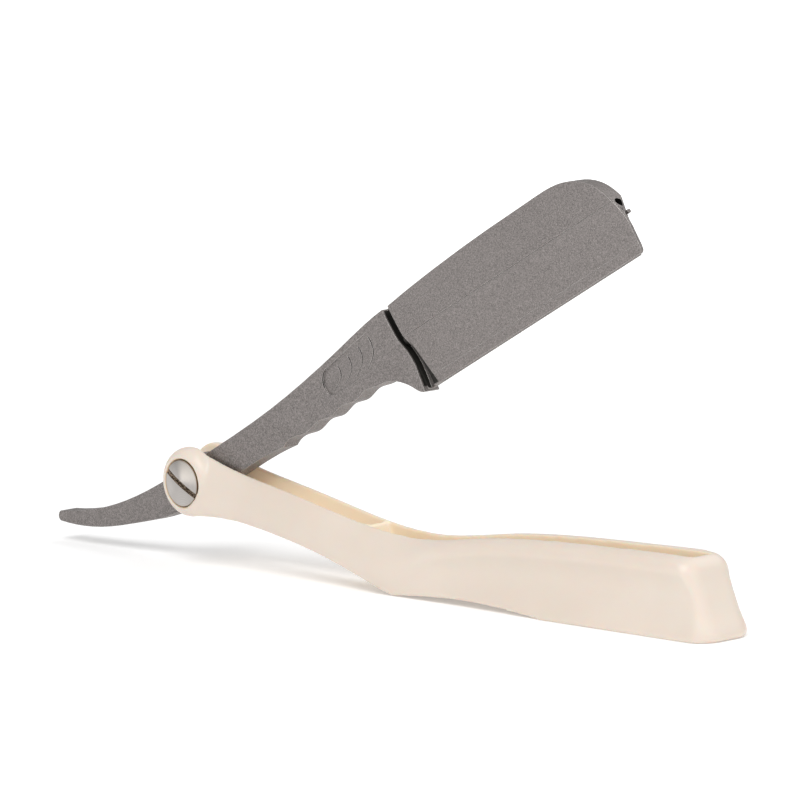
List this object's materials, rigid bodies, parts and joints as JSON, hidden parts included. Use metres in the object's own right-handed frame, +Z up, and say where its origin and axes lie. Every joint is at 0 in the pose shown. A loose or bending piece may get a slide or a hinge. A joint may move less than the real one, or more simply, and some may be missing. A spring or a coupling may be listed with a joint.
{
  "type": "folding barber razor",
  "caption": "Folding barber's razor holder: matt steel head with a sprung clamp jaw, pivoted in an ivory channel handle with a flared foot.",
  "frame": {"origin": "on the flat underside of the handle's foot, 95 mm from the pivot axis, midway across", "axes": "+X along the handle from the pivot to its foot, +Y across the handle towards the far ear, +Z up from the surface that the handle lies on"},
  "size_m": [0.1482, 0.0108, 0.0651],
  "materials": {
    "ivory_plastic": "satin moulded",
    "blasted_steel": "fine blasted, matt",
    "turned_steel": "turned and brushed",
    "spring_steel": "ground",
    "bronze": "machined",
    "washer_plastic": "matt"
  },
  "bodies": {
    "handle": {"handle": "ivory_plastic", "pivot_screw": "turned_steel", "sleeve_nut": "turned_steel", "washer_near": "washer_plastic", "washer_far": "washer_plastic"},
    "blade_holder": {"holder_body": "blasted_steel", "pivot_bush": "bronze", "hinge_pin": "turned_steel", "jaw_spring": "spring_steel"},
    "clamp_jaw": {"clamp_jaw": "blasted_steel"}
  },
  "joints": [
    {"name": "blade_pivot", "type": "hinge", "parent": "handle", "child": "blade_holder", "pos_m": [-0.095, 0, 0.01275], "axis": [0, -1, 0], "range_deg": [-27.1, 308]},
    {"name": "jaw_hinge", "type": "hinge", "parent": "blade_holder", "child": "clamp_jaw", "pos_m": [-0.02443, 0, 0.05045], "axis": [-0.8878, 0, -0.4602], "range_deg": [0, 1.5], "stiffness_Nm_per_rad": 0.3, "springref_deg": -1.15}
  ]
}
